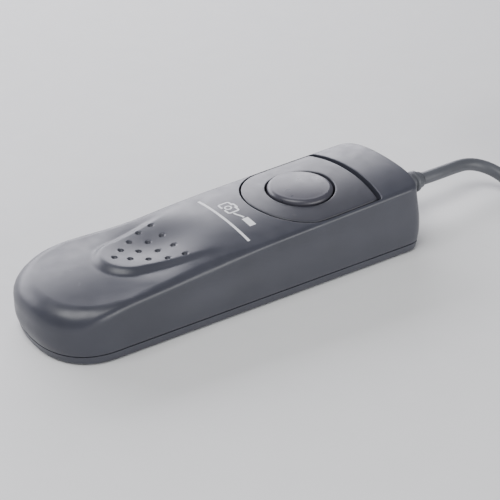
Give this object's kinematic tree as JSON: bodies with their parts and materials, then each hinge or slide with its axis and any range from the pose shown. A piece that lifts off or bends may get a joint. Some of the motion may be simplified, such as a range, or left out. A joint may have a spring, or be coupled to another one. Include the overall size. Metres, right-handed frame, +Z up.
{
  "type": "wired camera shutter release",
  "caption": "Hand-held wired camera release: round thumb button on a sliding lock plate, dimpled thumb rest, thin coiled cable ending in a flat camera plug.",
  "frame": {"origin": "under the middle of the body, on the surface that it lies on", "axes": "+X along the body towards the cable, +Y across it, +Z up out of the button's face"},
  "size_m": [0.1781, 0.0454, 0.0167],
  "materials": {
    "case_plastic": "satin moulded, fine even texture",
    "plate_plastic": "satin moulded",
    "button_plastic": "satin, slightly smoother than the case",
    "cable_rubber": "satin PVC jacket",
    "inner_plastic": "plain moulded",
    "plated_steel": "bright zinc plate",
    "contact_brass": "stamped, bright",
    "board_fibre": "solder-mask green",
    "solder": "tin, slightly dull",
    "wire_red": "thin wire insulation",
    "wire_white": "thin wire insulation",
    "wire_yellow": "thin wire insulation",
    "tie_strap": "hook-and-loop strap"
  },
  "bodies": {
    "housing": {"upper_housing": "case_plastic", "lower_housing": "case_plastic", "slide_retainer": "inner_plastic", "retainer_screw_1": "plated_steel", "retainer_screw_2": "plated_steel", "circuit_board": "board_fibre", "board_screw_1": "plated_steel", "board_screw_2": "plated_steel", "shutter_leaf": "contact_brass", "case_screw_1": "plated_steel", "case_screw_2": "plated_steel", "case_screw_3": "plated_steel", "cable_clamp": "inner_plastic", "clamp_screw_1": "plated_steel", "clamp_screw_2": "plated_steel", "cable_tail": "cable_rubber", "wire_red": "wire_red", "wire_white": "wire_white", "wire_yellow": "wire_yellow", "solder_joint_1": "solder", "solder_joint_2": "solder", "solder_joint_3": "solder", "strain_relief": "cable_rubber", "cable": "cable_rubber", "cable_coil": "cable_rubber", "coil_tie": "tie_strap", "cable_end": "cable_rubber", "plug_boot": "cable_rubber", "plug_body": "cable_rubber", "plug_insert": "inner_plastic", "plug_contact_1": "contact_brass", "plug_contact_2": "contact_brass", "plug_contact_3": "contact_brass"},
    "lock": {"lock_plate": "plate_plastic", "button_spring": "plated_steel"},
    "button": {"release_button": "button_plastic", "button_clip": "plated_steel"},
    "common_contact": {"common_leaf": "contact_brass"},
    "focus_contact": {"focus_leaf": "contact_brass"}
  },
  "joints": [
    {"name": "lock_slide", "type": "slide", "parent": "housing", "child": "lock", "axis": [1, 0, 0], "range_m": [0, 0.001]},
    {"name": "button_press", "type": "slide", "parent": "lock", "child": "button", "axis": [0, 0, -1], "range_m": [0, 0.0018], "stiffness_N_per_m": 450, "springref_m": -0.0012, "deforming": ["button_spring"]},
    {"name": "common_flex", "type": "hinge", "parent": "housing", "child": "common_contact", "pos_m": [-0.00287, 0, 0.0034], "axis": [0, 1, 0], "range_deg": [0, 5]},
    {"name": "focus_flex", "type": "hinge", "parent": "housing", "child": "focus_contact", "pos_m": [-0.00038, 0, 0.0034], "axis": [0, 1, 0], "range_deg": [0, 3]}
  ],
  "couplings": [
    {"joint": "common_flex", "follows": "button_press", "rad_per_m": 43.5},
    {"joint": "focus_flex", "follows": "button_press", "rad_per_m": 24.4}
  ]
}
